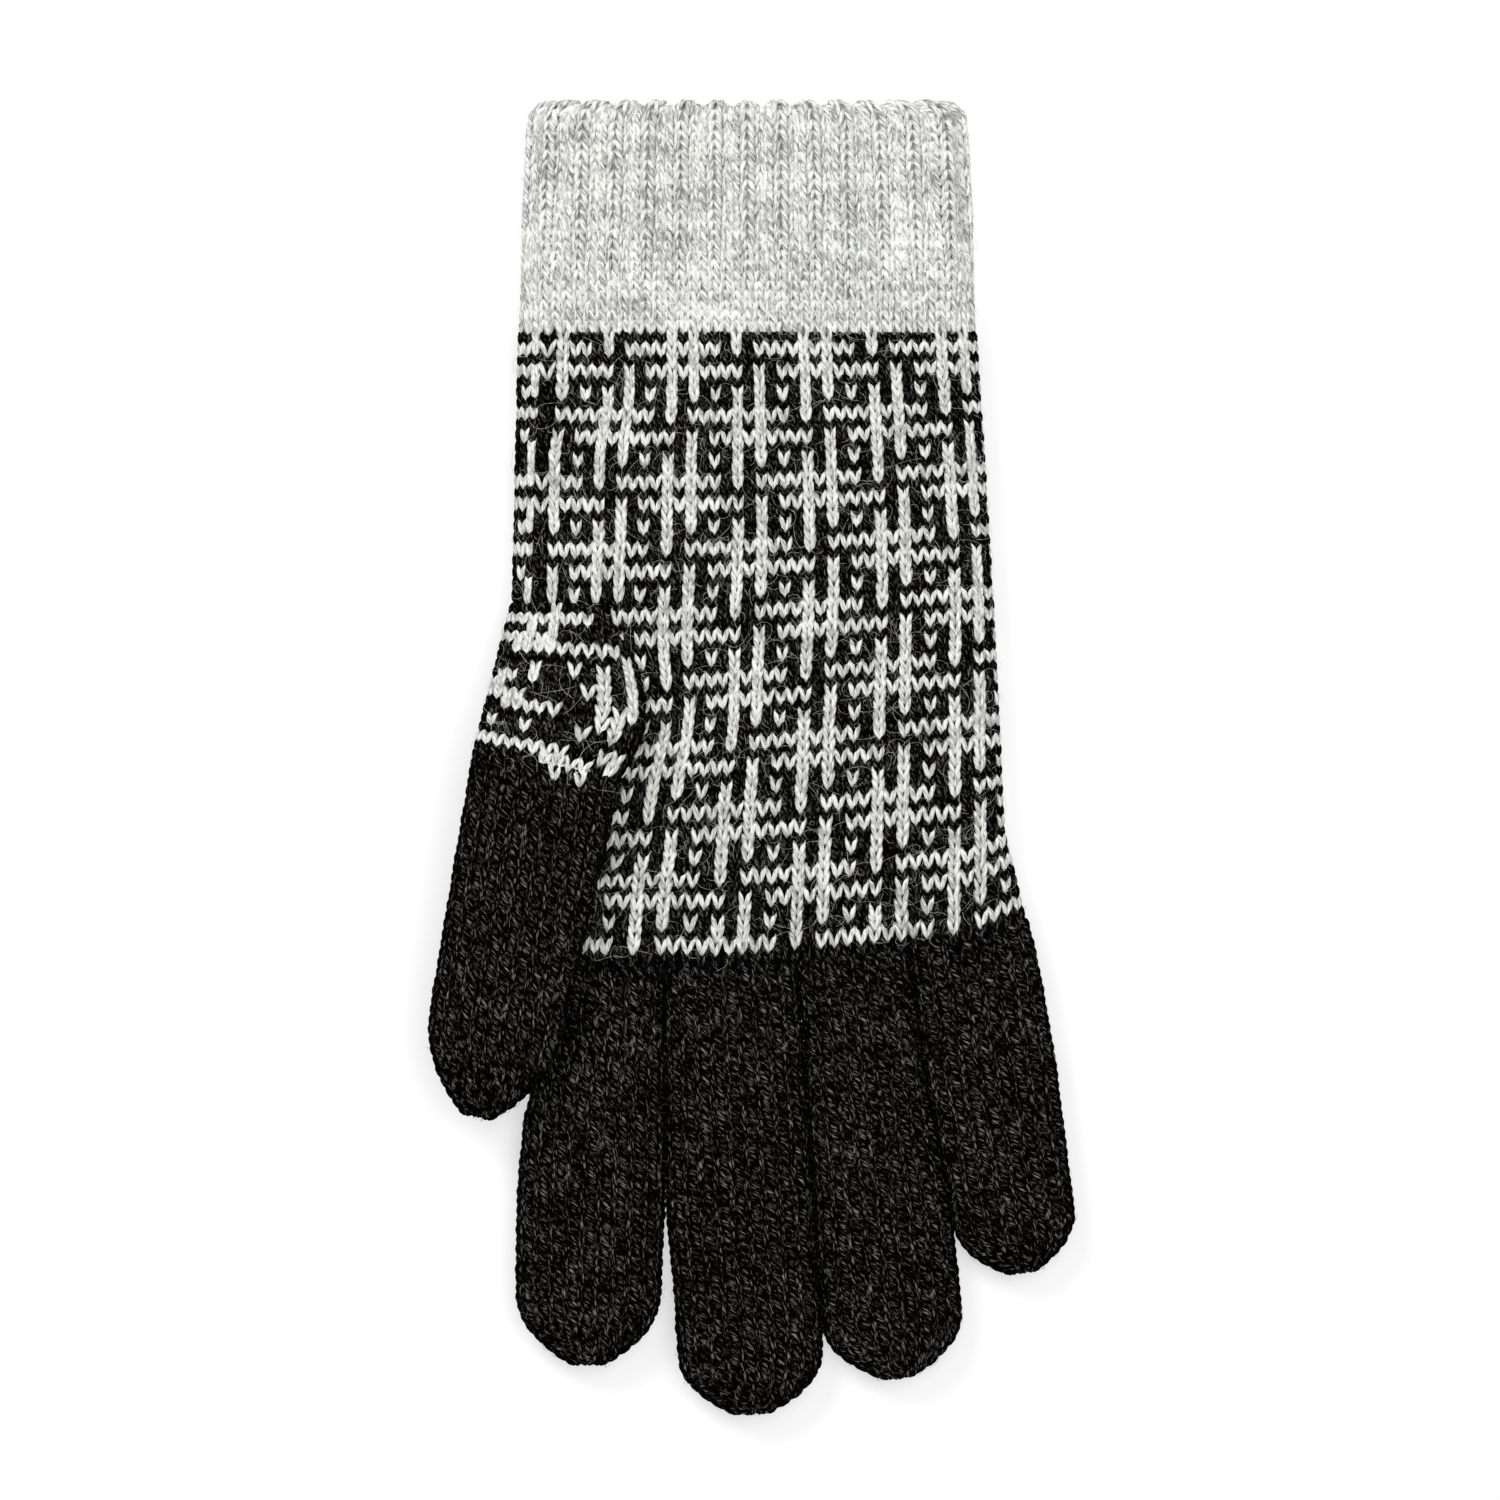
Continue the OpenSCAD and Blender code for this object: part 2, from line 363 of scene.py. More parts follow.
def hand_point(c, q):
    x = column_zero(0) + np.clip(c, -PALM_HALF, PALM_HALF) * column_pitch(q)
    for _ in range(ROUNDS):
        y = row_y(q, x)
        share = hand_arc(c, q, y) / hand_form.girth(y)
        x, z = hand_form.at(y, np.clip(share, 0, 1))
    palm_side = (np.clip((z - HAND_T / 2) / FADE_Z, 0, 1)
                 * np.clip((x - hand_sides(y)[0]) / FADE_X, 0, 1))
    pull = PULL * np.clip(part(x, *PULL_X), 0, 1) * np.exp(-((y - PULL_Y) / PULL_REACH) ** 2)
    draw = DRAW * np.clip(-x, 0, DRAW_X) * smooth(part(y, *DRAW_Y))
    spread = SPREAD * np.clip(part(x, *SPREAD_X), 0, 1) * smooth(part(y, *SPREAD_Y))
    x = x + palm_side * (pull + draw - spread)
    above = y - (ROOT_Y + (x - ROOT_MID_X) * ROOT_SLANT)
    to_groove = np.min([np.abs(x - j) for j in JUNCTIONS], axis=0)
    level = np.sqrt(1 - (1 - np.clip(to_groove / GROOVE_HALF, 0, 1)) ** 2)
    dip = (1 - level) * GROOVE_DEPTH * smooth(1 - above / GROOVE_LENGTH)
    z = HAND_T / 2 + (z - HAND_T / 2) * (1 - dip)
    return np.stack([x, y, z], axis=-1)


hand = Tube(LEFT_SEAM, LEFT_SEAM + COLUMNS, FIRST_ROW - 1, LAST_ROW + 2, hand_point)


def seam_share(c, q):
    """Share of the way round at a hand column, under 0 or over 1 where the thumb's edge has cut it off."""
    points, _ = hand.at(c, q)
    y = points[..., 1]
    return hand_arc(c, q, y) / hand_form.girth(y)


# ---- The cuff: up the outside, over the folded edge and down inside ----
CUFF_ROWS = (CUFF_TOP_Y - WRIST_Y) / CUFF_ROW
# Rows round the folded edge, and how much rounder it is than the gap between the layers
FOLD_ROWS = 3.0
FOLD_PLUMP = 0.4
# Where below its top the cuff's corners start to round, how much they draw in, and how far above the wrist the
# cuff is fully thick
CUFF_CORNER, CORNER_DRAW = 5.0, 0.6
CUFF_SWELL = 14
# How far the cuff's surface goes on below the wrist, as a share of its height
CUFF_BELOW = 0.2
# A rib: its columns, how far it stands out, the rows over which it comes in above the wrist, and the share of
# it that goes inside the cuff and over how many rows
RIB = 3
RIB_HEIGHT = 0.85
RIB_START = (2, 14)
RIB_LOSS, RIB_LOSS_ROWS = 0.5, 8
# A rib's two broad columns lean together, and the sunk one is narrow: columns, and shares of a column
RIB_LEAN, RIB_BROAD, RIB_NARROW = 0.13, 1.14, 0.72


def cuff_sizes(y):
    width = CUFF_W + (CUFF_EDGE_W - CUFF_W) * part(y, WRIST_Y, CUFF_TOP_Y)
    near = np.clip(1 - (CUFF_TOP_Y - y) / CUFF_CORNER, 0, 1)
    width = width - 2 * CUFF_CORNER * CORNER_DRAW * (1 - np.sqrt(1 - near ** 2))
    thick = HAND_T + (CUFF_T - HAND_T) * smooth((y - WRIST_Y) / CUFF_SWELL)
    return width, thick


def cuff_path(v):
    """Height and inset of the cuff at a row: v is 0 at the wrist and grows up the outside."""
    straight_rows = CUFF_ROWS - 1
    radius = (CUFF_WALL - 2 * INSET) / 2 + FOLD_PLUMP
    height = CUFF_TOP_Y - INSET - radius - WRIST_Y
    turn = np.clip((v - straight_rows) / FOLD_ROWS, 0, 1) * math.pi
    up = np.clip(v / straight_rows, -CUFF_BELOW, 1) * height
    back = np.clip((v - straight_rows - FOLD_ROWS) / straight_rows, 0, 1) * height
    return WRIST_Y + up + radius * np.sin(turn) - back, radius * (1 - np.cos(turn))


def rib_share(v):
    """How far the ribs stand out at a cuff row: nothing at the wrist, fully above it, less down inside."""
    return (smooth(part(v, *RIB_START))
            * (1 - RIB_LOSS * smooth((v - CUFF_ROWS - FOLD_ROWS) / RIB_LOSS_ROWS)))


def ribbed(c, r):
    """Columns and widths of the cuff's stitches: two broad columns, then a narrow sunk one."""
    share = rib_share(-r)
    place = np.mod(c, RIB)
    shift = np.where(place == 1, -RIB_LEAN, np.where(place == 2, RIB_LEAN, 0.0))
    width = np.where(place == 0, RIB_NARROW, RIB_BROAD)
    return c + shift * share, 1 + (width - 1) * share


def cuff_point(c, r):
    v = -r
    y, inset = cuff_path(v[:, 0])
    x, z = np.zeros(c.shape), np.zeros(c.shape)
    for i in range(len(v)):
        width, thick = cuff_sizes(y[i])
        half = thick / 2 - INSET - inset[i]
        left = CUFF_X - width / 2 + SIDE_INSET + inset[i]
        sx, sz, girth = outline(left, 2 * CUFF_X - left, half, thick / 2, HAND_ROUNDING - inset[i])
        share = (c[i] - LEFT_SEAM) / COLUMNS * (SHARES - 1)
        x[i], z[i] = np.interp(share, np.arange(SHARES), sx), np.interp(share, np.arange(SHARES), sz)
    points = np.stack([x, np.repeat(y[:, None], c.shape[1], 1), z], axis=-1)
    wave = -RIB_HEIGHT * rib_share(v) * np.cos(2 * math.pi * c / RIB)
    across, along = np.gradient(points, axis=1), np.gradient(points, axis=0)
    return points + unit(np.cross(along, across)) * wave[..., None]


# Cuff rows are negative, because they lead away from the fingers
cuff_last = -(2 * CUFF_ROWS + FOLD_ROWS - 3)
cuff = Tube(LEFT_SEAM, LEFT_SEAM + COLUMNS, cuff_last, 1.5, cuff_point, closed=True)


# ---- Fingers and thumb: tubes along their own -Y, closed by a rounded tip ----
# A tip narrows to this share of its width, faster and faster, ends this far inside the CAD's, and its thickness
# closes over this length
TIP_FLAT = 0.2
TIP_POWER = 2.4
TIP_INSET = INSET * 0.6
TIP_CLOSE, TIP_CLOSE_POWER = 8.5, 2.2
# Rounding of a section as a share of its half width, sections along a digit, and the least half size
DIGIT_ROUNDING = 0.82
DIGIT_SECTIONS = 400
LEAST = 0.05
# How far from its root a finger is thinner than the hand
KNUCKLE = 12


def tip_share(along, length, rounding, power):
    t = np.clip((along - (length - rounding)) / rounding, 0, 1)
    return (1 - t ** power) ** (1 / power)


class Digit:
    """A closed-ended tube. Rows are even along its top, from a little before its root."""

    def __init__(self, matrix, length, rounding, left, right, thick, mid_z, columns, start):
        self.matrix, self.length, self.columns = np.array(matrix), length, columns
        self.cap = length - TIP_INSET

        def section(s):
            w = 1 - (1 - TIP_FLAT) * np.clip((s - self.cap + rounding) / rounding, 0, 1) ** TIP_POWER
            b = tip_share(s, self.cap, TIP_CLOSE, TIP_CLOSE_POWER)
            lo, hi = left(s), right(s)
            mid = (lo + hi) / 2
            half_w = max((hi - lo) / 2 * w, LEAST)
            half_t = max((thick(s) / 2 - INSET) * b, LEAST)
            return outline(mid - half_w, mid + half_w, half_t, mid_z(s), half_w * DIGIT_ROUNDING)

        self.form = Form(start, self.cap, DIGIT_SECTIONS, section)
        s = np.linspace(start, self.cap, DIGIT_SECTIONS)
        height = self.form.z[:, SHARES // 4]
        meridian = np.concatenate([[0], np.cumsum(np.hypot(np.diff(s), np.diff(height)))])
        self.rows = meridian[-1] / FINGER_ROW
        self.s, self.meridian, self.start = s, meridian, start

        def point(c, r):
            along = self.along(r)
            share = np.clip(c / columns, 0, 1)
            x, z = self.form.at(along, share)
            return self.place(x, -along, z)

        self.tube = Tube(0, columns, 0, self.rows, point, closed=True)

    def along(self, row):
        return np.interp(np.asarray(row) * FINGER_ROW, self.meridian, self.s)

    def row(self, along):
        return np.interp(along, self.s, self.meridian) / FINGER_ROW

    def place(self, x, y, z):
        local = np.stack([x, y, z, np.ones_like(x)], axis=-1)
        return (local @ self.matrix.T)[..., :3]

    def spot(self, along, z=0.0):
        """A point of the digit's own axis in the frame, in metres."""
        return self.place(np.array(0.0), np.array(-float(along)), np.array(float(z))) * MM


def make_finger(name):
    root_x, length, _, lean, rounding, columns, stations, lefts, rights = FINGERS[name]
    root_y = ROOT_Y + (root_x - ROOT_MID_X) * ROOT_SLANT
    matrix = Matrix.Translation((root_x, root_y, 0)) @ Matrix.Rotation(math.radians(lean), 4, "Z")

    def thick(s):
        return FINGER_T + (HAND_T - FINGER_T) * smooth(1 - s / KNUCKLE)

    return Digit(matrix, length, rounding, lambda s: np.interp(s, stations, lefts),
                 lambda s: np.interp(s, stations, rights), thick, lambda s: thick(s) / 2, columns,
                 float(stations[0]))


digits = {name: make_finger(name) for name in FINGERS}
thumb_matrix = (Matrix.Translation(THUMB_AT) @ Matrix.Rotation(math.radians(-THUMB_TURN), 4, "Z")
                @ Matrix.Rotation(math.radians(-THUMB_ROLL), 4, "Y")
                @ Matrix.Rotation(math.radians(THUMB_DROP), 4, "X"))
thumb_stations = [0, THUMB_LEN - THUMB_TAPER, THUMB_LEN]
thumb_widths = [THUMB_W / 2, THUMB_TIP_W / 2, THUMB_TIP_W / 2 - THUMB_END_CUT]
digits["thumb"] = Digit(
    thumb_matrix, THUMB_LEN, THUMB_TIP_ROUND,
    lambda s: -np.interp(s, thumb_stations, thumb_widths) + SIDE_INSET,
    lambda s: np.interp(s, thumb_stations, thumb_widths) - SIDE_INSET,
    lambda s: THUMB_T, lambda s: 0.0, THUMB_COLUMNS, 0.0)

# ---- The gusset, from the palm's edge to the thumb's root ----
GUSSET_COLUMNS = 26
GUSSET_ROWS = 16.0
# Two white stitches hang from its last row over the thumb
HANGING_COLUMNS = (-15, -13)
HANGING_ROW = 0.4
# The gusset bulges over the palm: how far, how near the thumb most of it lies (more than 1 is nearer), and
# where round the section it starts and ends, and over which shares
WEB, WEB_POWER = 4.4, 1.5
WEB_START, WEB_COMES, WEB_END, WEB_GOES = 0.2, 0.26, 0.75, 0.2


def gusset_point(c, r):
    t = (r - GUSSET_ROW) / GUSSET_ROWS
    share = np.clip((c - LEFT_SEAM) / GUSSET_COLUMNS, 0, 1)
    sx, sz, _ = outline(GUSSET_X[0] + SIDE_INSET, GUSSET_X[1] - SIDE_INSET,
                        HAND_T / 2 - INSET, HAND_T / 2, HAND_ROUNDING)
    steps = np.arange(SHARES) / (SHARES - 1)
    start = np.stack([np.interp(share, steps, sx), np.full(share.shape, GUSSET_Y),
                      np.interp(share, steps, sz)], axis=-1)
    tx, tz, _ = outline(-THUMB_W / 2 + SIDE_INSET, THUMB_W / 2 - SIDE_INSET,
                        THUMB_T / 2 - INSET, 0, THUMB_W / 2 * DIGIT_ROUNDING)
    end = digits["thumb"].place(np.interp(share, steps, tx), np.zeros(share.shape),
                                np.interp(share, steps, tz))
    e = np.clip(t, -0.1, 1.1)[..., None]
    points = start * (1 - e) + end * e
    right = smooth((share - WEB_START) / WEB_COMES) * smooth((WEB_END - share) / WEB_GOES)
    points[..., 0] += WEB * right * np.sin(math.pi * np.clip(t, 0, 1) ** WEB_POWER)
    return points


gusset = Tube(LEFT_SEAM, LEFT_SEAM + GUSSET_COLUMNS, GUSSET_ROW - 0.5, GUSSET_ROW + GUSSET_ROWS + 1.5,
              gusset_point, closed=True)


# The gusset's palm side, row by row from the palm: # is a white stitch
GUSSET_CHART = (
    ".....#.......",
    "#########....",
    "...#.#.......",
    "######.......",
    "..#########..",
    "...........#.",
    "....#..#.#.#.",
    ".##.#....#.#.",
    "##......##.#.",
    "####.....#.#.",
    "..#####..###.",
    ".........##..",
    ".#..#...#.#..",
    ".............",
    "########..##.",
    "......####.#.",
)


def chart_marks(chart):
    return np.array([[mark == "#" for mark in line] for line in chart])


def gusset_white(c, r):
    chart = chart_marks(GUSSET_CHART)
    row = np.clip(np.floor(r - GUSSET_ROW).astype(int), 0, len(chart) - 1)
    column = (c - SEAM).astype(int)
    on_chart = column < chart.shape[1]
    last = row == len(chart) - 1
    return np.where(on_chart, chart[row, np.clip(column, 0, chart.shape[1] - 1)],
                    is_white(c, GUSSET_ROW + row) | last)


def inside_hand(points, margin):
    x, y, z = points[..., 0], points[..., 1], points[..., 2]
    left, right = hand_sides(y)
    edge = np.minimum(x - left, right - x)
    reach = np.clip(edge / HAND_ROUNDING, 0, 1)
    half = HAND_T / 2 * np.sqrt(1 - (1 - reach) ** 2)
    return (edge > margin) & (np.abs(z - HAND_T / 2) < half - margin)


# ---- The pattern: crossed pairs of bars with single stitches between them ----
# Columns and rows from one crossing to the next, and the crossings that the hand needs across and along
MOTIF = 6
# A crossing's bars, as first and last column and first and last row, and the single stitch of every motif
BARS = ((0, 8, 0, 0), (2, 10, 2, 2), (4, 4, -2, 6), (6, 6, -4, 4))
SINGLE = (2, 4)
CROSSINGS_ACROSS = range(-8, 14)
CROSSINGS_ALONG = range(-5, 11)


def is_white(c, q):
    c, q = np.asarray(c), np.asarray(q)
    white = np.zeros(np.broadcast(c, q).shape, bool)
    for a in CROSSINGS_ACROSS:
        for b in CROSSINGS_ALONG:
            if (a + b) % 2:
                continue
            i, j = c - MOTIF * a, q - MOTIF * b
            for left, right, first, last in BARS:
                white |= (i >= left) & (i <= right) & (j >= first) & (j <= last)
    return white | ((c % MOTIF == SINGLE[0]) & (q % MOTIF == SINGLE[1]))


# The last column of the palm's pattern at its thumb edge, with the odd stitches beside it as in the photo.
# Above the gusset it is wide, the next one narrow, and both lie a little further out
EDGE_COLUMN = -19
EDGE_WIDTHS = {EDGE_COLUMN - 1: 0.6, EDGE_COLUMN: 1.4}
EDGE_SHIFT = 0.2
# That column and the next three outwards, row by row over two motifs: those beyond are like the last
EDGE_CHART = (
    "#.#.........",
    "#.###.#..###",
    "#.#.#.#.#...",
    "#.#...#.....",
)


def is_white_edge(c, q):
    """The stitches from the palm's edge column outwards."""
    chart = chart_marks(EDGE_CHART)
    out = np.clip(EDGE_COLUMN - c, 0, len(chart) - 1).astype(int)
    return chart[out, np.mod(q, 2 * MOTIF).astype(int)]


# ---- Meshes ----
def mesh_object(name, points, polygons, materials, uv=None, attributes=None):
    """A mesh from arrays: points in millimetres, polygons as a list of equal-sided arrays, uv per corner."""
    mesh = bpy.data.meshes.new(name)
    mesh.vertices.add(len(points))
    mesh.vertices.foreach_set("co", (np.asarray(points) * MM).astype(np.float32).ravel())
    loops = np.concatenate([p.ravel() for p in polygons])
    totals = np.concatenate([np.full(len(p), p.shape[1]) for p in polygons])
    starts = np.concatenate([[0], np.cumsum(totals)[:-1]])
    mesh.loops.add(len(loops))
    mesh.loops.foreach_set("vertex_index", loops.astype(np.int32))
    mesh.polygons.add(len(totals))
    mesh.polygons.foreach_set("loop_start", starts.astype(np.int32))
    mesh.polygons.foreach_set("loop_total", totals.astype(np.int32))
    mesh.polygons.foreach_set("use_smooth", np.ones(len(totals), bool))
    if uv is not None:
        layer = mesh.uv_layers.new(name="OFBake")
        layer.data.foreach_set("uv", np.asarray(uv, np.float32).ravel())
    for key, values in (attributes or {}).items():
        kind, field = ("FLOAT", "value") if values.ndim == 1 else ("FLOAT_VECTOR", "vector")
        layer = mesh.attributes.new(key, kind, "POINT")
        layer.data.foreach_set(field, np.asarray(values, np.float32).ravel())
    mesh.update()
    mesh.validate()
    for material in materials:
        mesh.materials.append(material)
    piece = bpy.data.objects.new(name, mesh)
    bpy.context.scene.collection.objects.link(piece)
    return piece


# The UV square for each leg: more squares across than down, and the margin in each
CELL_ASPECT = 1.6
CELL_MARGIN = 0.12
# A leg's end in its square, as half sizes, and the margin round a backing's halves
CAP_ACROSS, CAP_DOWN = 0.2, 0.02
SHEET_MARGIN = 0.01
# Stitches get painted shade, as on the glove's sides and in the grooves between the digits, from this tilt on,
# and fully after this range
SIDE_TILT, SIDE_RANGE = 0.3, 0.4


def cells(count, aspect):
    """Lower corners and size of a grid of cells that holds count cells in the unit square."""
    across = max(1, int(math.ceil(math.sqrt(count * aspect))))
    down = int(math.ceil(count / across))
    index = np.arange(count)
    return (index % across) / across, (index // across) / down, 1 / across, 1 / down


def knit(name, tube, c, r, width, material, sides=FINE, radius=LEG_RADIUS):
    """One piece of knitting: stitches at columns c and rows r, each width columns wide."""
    n = len(c)
    uneven = [random.normal(0, amount, n) for amount in UNEVEN]
    c, r, lift, plump = c + uneven[0], r + uneven[1], uneven[2], 1 + uneven[3]
    seed = random.random((n, 2))
    rings = len(LEG)
    centres = np.zeros((n, 2, rings, 3))
    normals = np.zeros((n, 2, rings, 3))
    for k, side in enumerate((-1, 1)):
        cc = c[:, None] + side * LEG[None, :, 0] * width[:, None]
        rr = r[:, None] + LEG[None, :, 1]
        p, m = tube.at(cc, rr)
        centres[:, k] = p + m * (LEG[None, :, 2] + lift[:, None])[..., None]
        normals[:, k] = m
    centres, normals = centres.reshape(-1, rings, 3), normals.reshape(-1, rings, 3)
    size = radius * LEG[None, :, 3] * np.repeat(plump, 2)[:, None]
    return sweep(name, centres, normals, size, sides, seed.reshape(-1), material)


def sweep(name, centres, normals, size, sides, seed, material):
    """Strands through rows of centres: one mesh, with the yarn's own coordinates for its material."""
    legs, rings = centres.shape[:2]
    tangent = unit(np.gradient(centres, axis=1))
    across = unit(np.cross(tangent, normals))
    up = np.cross(across, tangent)
    angle = -math.pi / 2 + 2 * math.pi * np.arange(sides) / sides
    points = (centres[:, :, None] + size[..., None, None]
              * (np.cos(angle)[None, None, :, None] * across[:, :, None]
                 + LEG_FLAT * np.sin(angle)[None, None, :, None] * up[:, :, None]))
    base = np.arange(legs)[:, None, None] * rings * sides
    i, j = np.meshgrid(np.arange(rings - 1), np.arange(sides), indexing="ij")
    corner = np.stack([i * sides + j, i * sides + (j + 1) % sides,
                       (i + 1) * sides + (j + 1) % sides, (i + 1) * sides + j], axis=-1).reshape(-1, 4)
    quads = (base + corner[None]).reshape(-1, 4)
    cap = np.arange(sides)
    caps = np.concatenate([(base[:, 0] + cap[::-1][None]), (base[:, 0] + (rings - 1) * sides + cap[None])])
    u0, v0, du, dv = cells(legs, CELL_ASPECT)
    margin = CELL_MARGIN
    ju = np.stack([j, j + 1, j + 1, j], axis=-1).reshape(-1, 4) / sides
    iv = np.stack([i, i, i + 1, i + 1], axis=-1).reshape(-1, 4) / (rings - 1)
    u = u0[:, None, None] + du * (margin + (1 - 2 * margin) * ju[None])
    v = v0[:, None, None] + dv * (margin + (1 - 2 * margin) * iv[None])
    uv = [np.stack([u, v], axis=-1).reshape(-1, 2)]
    for level in (margin, 1 - margin):
        cu = np.repeat((u0 + du / 2)[:, None], sides, 1) + du * CAP_ACROSS * np.cos(angle)[None]
        cv = np.repeat((v0 + dv * level)[:, None], sides, 1) + dv * CAP_DOWN * np.sin(angle)[None]
        uv.append(np.stack([cu, cv], axis=-1).reshape(-1, 2))
    steps = np.linalg.norm(np.diff(centres, axis=1), axis=2)
    along = np.concatenate([np.zeros((legs, 1)), np.cumsum(steps, axis=1)], axis=1)
    yarn = np.zeros((legs, rings, sides, 3))
    yarn[..., 0] = along[:, :, None]
    yarn[..., 1] = (np.arange(sides) / sides)[None, None]
    yarn[..., 2] = seed[:, None, None]
    # Painted shade for the glove's sides and the grooves between the digits: 0 where the surface faces up or
    # down, 1 on its steep sides
    side = smooth((1 - np.abs(normals[..., 2]) - SIDE_TILT) / SIDE_RANGE)
    return mesh_object(name, points.reshape(-1, 3), [quads, caps], [material], np.concatenate(uv),
                       {"yarn": yarn.reshape(-1, 3), "side": np.repeat(side, sides, axis=1).ravel()})


def fuzz(name, tube, c_range, r_range, count, pitch, material, keep=None, longest=8.5, highest=1.3):
    """Loose curled hairs over a surface: pitch is the size of its stitches in millimetres."""
    c, r = random.uniform(*c_range, count), random.uniform(*r_range, count)
    heading = random.uniform(0, 2 * math.pi, count)
    curl, bend = random.normal(0, HAIR_CURL, count), random.normal(0, HAIR_WANDER, (count, HAIR_RINGS))
    length, reach = random.uniform(longest / 4, longest, count), random.uniform(highest / 3, highest, count)
    if keep is not None:
        given, chosen = (c, r, heading, curl, bend, length, reach), keep(c, r)
        c, r, heading, curl, bend, length, reach = (values[chosen] for values in given)
    step = np.arange(HAIR_RINGS)
    turn = heading[:, None] + curl[:, None] * step + np.cumsum(bend, axis=1)
    stride = (length / HAIR_RINGS)[:, None]
    cc = c[:, None] + np.cumsum(np.cos(turn) * stride, axis=1) / pitch[0]
    rr = r[:, None] + np.cumsum(np.sin(turn) * stride, axis=1) / pitch[1]
    points, normals = tube.at(cc, rr)
    height = HAIR_FOOT + reach[:, None] * np.sin(math.pi * (step + 0.5) / HAIR_RINGS * HAIR_ARC)
    centres = points + normals * height[..., None]
    size = np.full(centres.shape[:2], HAIR_RADIUS)
    return sweep(name, centres, normals, size, HAIR_SIDES, random.random(len(c)), material)


def backing(name, tube, c0, c1, r0, r1, depth, material):
    """A thin closed sheet just under the stitches, so that nothing shows between them."""
    c = np.linspace(c0, c1, int(round((c1 - c0) / tube.STEP)) + 1)
    r = np.linspace(r0, r1, int(round((r1 - r0) / tube.STEP)) + 1)
    cc, rr = np.meshgrid(c, r)
    p, m = tube.at(cc, rr)
    if tube.closed and abs(c1 - c0 - tube.width) < 1e-6:
        p[:, -1], m[:, -1] = p[:, 0], m[:, 0]
    outer, inner = p - m * depth, p - m * (depth + BACKING_T)
    nr, nc = cc.shape
    index = np.arange(nr * nc).reshape(nr, nc)
    face = np.stack([index[:-1, :-1], index[1:, :-1], index[1:, 1:], index[:-1, 1:]], axis=-1).reshape(-1, 4)
    flip = (face + nr * nc)[:, ::-1]
    rim = [np.stack([line[:-1], line[1:], line[1:] + nr * nc, line[:-1] + nr * nc], axis=-1)
           for line in (index[0], index[-1][::-1], index[:, 0][::-1], index[:, -1])]
    faces = np.concatenate([face, flip] + rim)
    points = np.concatenate([outer.reshape(-1, 3), inner.reshape(-1, 3)])
    flat = np.stack([part(cc, c0, c1).ravel(), part(rr, r0, r1).ravel()], axis=-1)
    flat = (flat * (1 - 2 * SHEET_MARGIN) + SHEET_MARGIN) * (1, 0.5 - SHEET_MARGIN)
    uv = np.concatenate([flat, flat + (0, 0.5)])[faces.ravel()]
    return mesh_object(name, points, [faces], [material], uv)


# ---- Materials ----
# Noise scales of paler and darker stretches, how far the legs' noises lie apart, and both noises' roughness
CLUMP_SCALE = (85.0, 240.0, 150.0)
SEED_SPREAD = 97.0
YARN_NOISE = 0.6
BUMP_DISTANCE = 0.0003
# How rough the yarn and the backing are, and the tint of the yarn's sheen
YARN_ROUGHNESS, BACKING_ROUGHNESS = 0.9, 0.95
SHEEN_TINT = (0.8, 0.8, 0.8, 1.0)
# The backing's noise: scale, detail, roughness, and the values with its two shades
BACKING_NOISE = (900.0, 3.0, 0.5)
BACKING_RAMP = (0.4, 0.65)


def value(tone):
    """A display grey or colour, 0 to 255, as scene-linear (the sRGB curve)."""
    rgb = (tone,) * 3 if isinstance(tone, (int, float)) else tone
    return tuple((t / 255 / 12.92 if t <= 10 else ((t / 255 + 0.055) / 1.055) ** 2.4) for t in rgb) + (1.0,)


def nodes_of(name):
    material = bpy.data.materials.new(name)
    material.use_nodes = True
    tree = material.node_tree
    shader = next(n for n in tree.nodes if n.type == "BSDF_PRINCIPLED")
    return material, tree, shader


def math_node(tree, operation, first, second, third=None):
    node = tree.nodes.new("ShaderNodeMath")
    node.operation = operation
    for socket, given in zip(node.inputs, (first, second, third)):
        if given is None:
            continue
        if isinstance(given, (int, float)):
            socket.default_value = given
        else:
            tree.links.new(given, socket)
    return node.outputs[0]


def set_inputs(node, given):
    for key, amount in given.items():
        node.inputs[key].default_value = amount


def noise_node(tree, vector, scale, detail, roughness):
    node = tree.nodes.new("ShaderNodeTexNoise")
    set_inputs(node, {"Scale": scale, "Detail": detail, "Roughness": roughness})
    tree.links.new(vector, node.inputs["Vector"])
    return node.outputs["Fac"]


def ramp_colour(tree, factor, shader, dark, light, low=0.0, high=1.0):
    """Gives the shader its colour: dark up to a low factor, light from a high one."""
    ramp = tree.nodes.new("ShaderNodeValToRGB")
    for element, position, tone in zip(ramp.color_ramp.elements, (low, high), (dark, light)):
        element.position, element.color = position, value(tone)
    tree.links.new(factor, ramp.inputs["Fac"])
    tree.links.new(ramp.outputs["Color"], shader.inputs["Base Color"])


